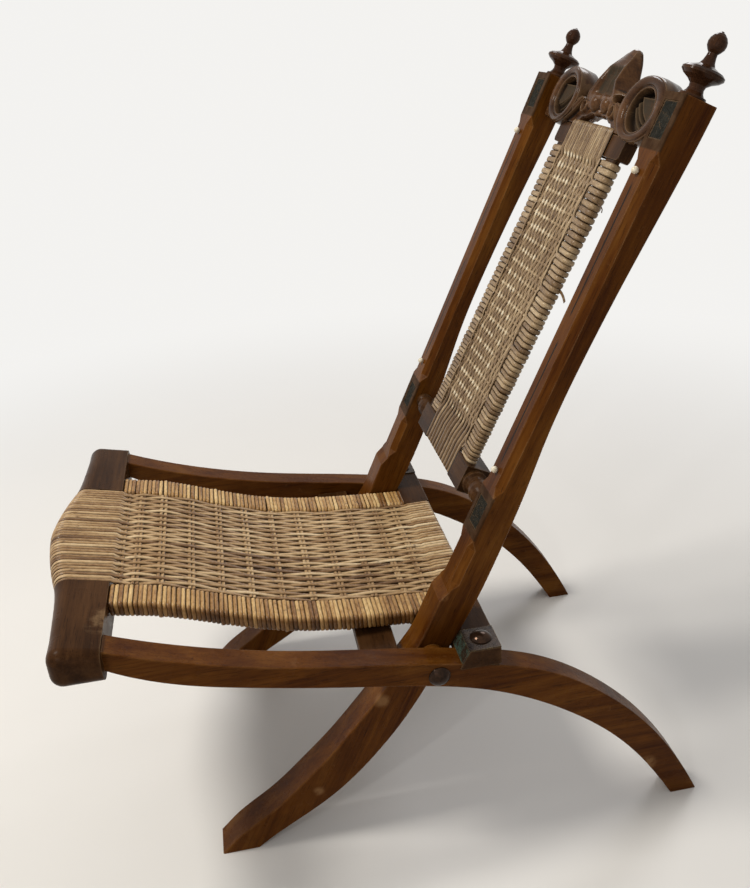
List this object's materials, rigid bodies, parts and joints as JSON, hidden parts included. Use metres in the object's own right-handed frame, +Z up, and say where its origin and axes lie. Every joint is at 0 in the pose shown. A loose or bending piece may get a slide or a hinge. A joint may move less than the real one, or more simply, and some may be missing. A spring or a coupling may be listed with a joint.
{
  "type": "folding cane easy chair",
  "caption": "Low folding hardwood easy chair: curved X-frame with caned seat and leaning caned back, carved crest rail and turned finials.",
  "frame": {"origin": "on the floor, midway between the left and right feet and midway between the front-most and rear-most points", "axes": "+Z up, the sitter faces -Y, +X is the sitter's left; the left and right halves mirror each other across X = 0"},
  "size_m": [0.474, 0.732, 0.8561],
  "materials": {
    "red_wood": "red-brown hardwood, worn waxed surface",
    "dark_wood": "dark brown stained hardwood, satin, worn on the edges",
    "polished_wood": "turned dark hardwood, glossy",
    "cane": "split rattan cane, natural tan, satin",
    "green_brass": "sheet brass with brown and green tarnish",
    "dark_brass": "darkened brass, polished by wear",
    "bone": "polished bone or ivory-coloured studs"
  },
  "bodies": {
    "seat": {"side_rail_left": "red_wood", "side_rail_right": "red_wood", "front_rail": "dark_wood", "rear_rail": "dark_wood", "middle_rail": "dark_wood", "seat_rail_left": "dark_wood", "seat_rail_right": "dark_wood", "seat_cane_field": "cane", "seat_cane_front_wrap": "cane", "seat_cane_rear_wrap": "cane", "seat_cane_wrap_left": "cane", "seat_cane_wrap_right": "cane", "stop_strap_left": "green_brass", "stop_strap_right": "green_brass", "stop_bolts": "dark_brass", "stop_nuts": "dark_brass", "pivot_bolts": "dark_brass", "pivot_nuts": "dark_brass", "pivot_spacers": "red_wood"},
    "back": {"post_left": "red_wood", "post_right": "red_wood", "finial_left": "polished_wood", "finial_right": "polished_wood", "post_buttons": "bone", "crest_rail": "dark_wood", "back_stile_left": "dark_wood", "back_stile_right": "dark_wood", "back_top_rail": "dark_wood", "back_lower_rail": "dark_wood", "back_cane_field": "cane", "back_cane_wrap_left": "cane", "back_cane_wrap_right": "cane", "back_cane_top_wrap": "cane", "back_cane_bottom_wrap": "cane"}
  },
  "joints": [
    {"name": "fold", "type": "hinge", "parent": "seat", "child": "back", "pos_m": [0, 0.0463, 0.2449], "axis": [1, 0, 0], "range_deg": [0, 71]}
  ]
}
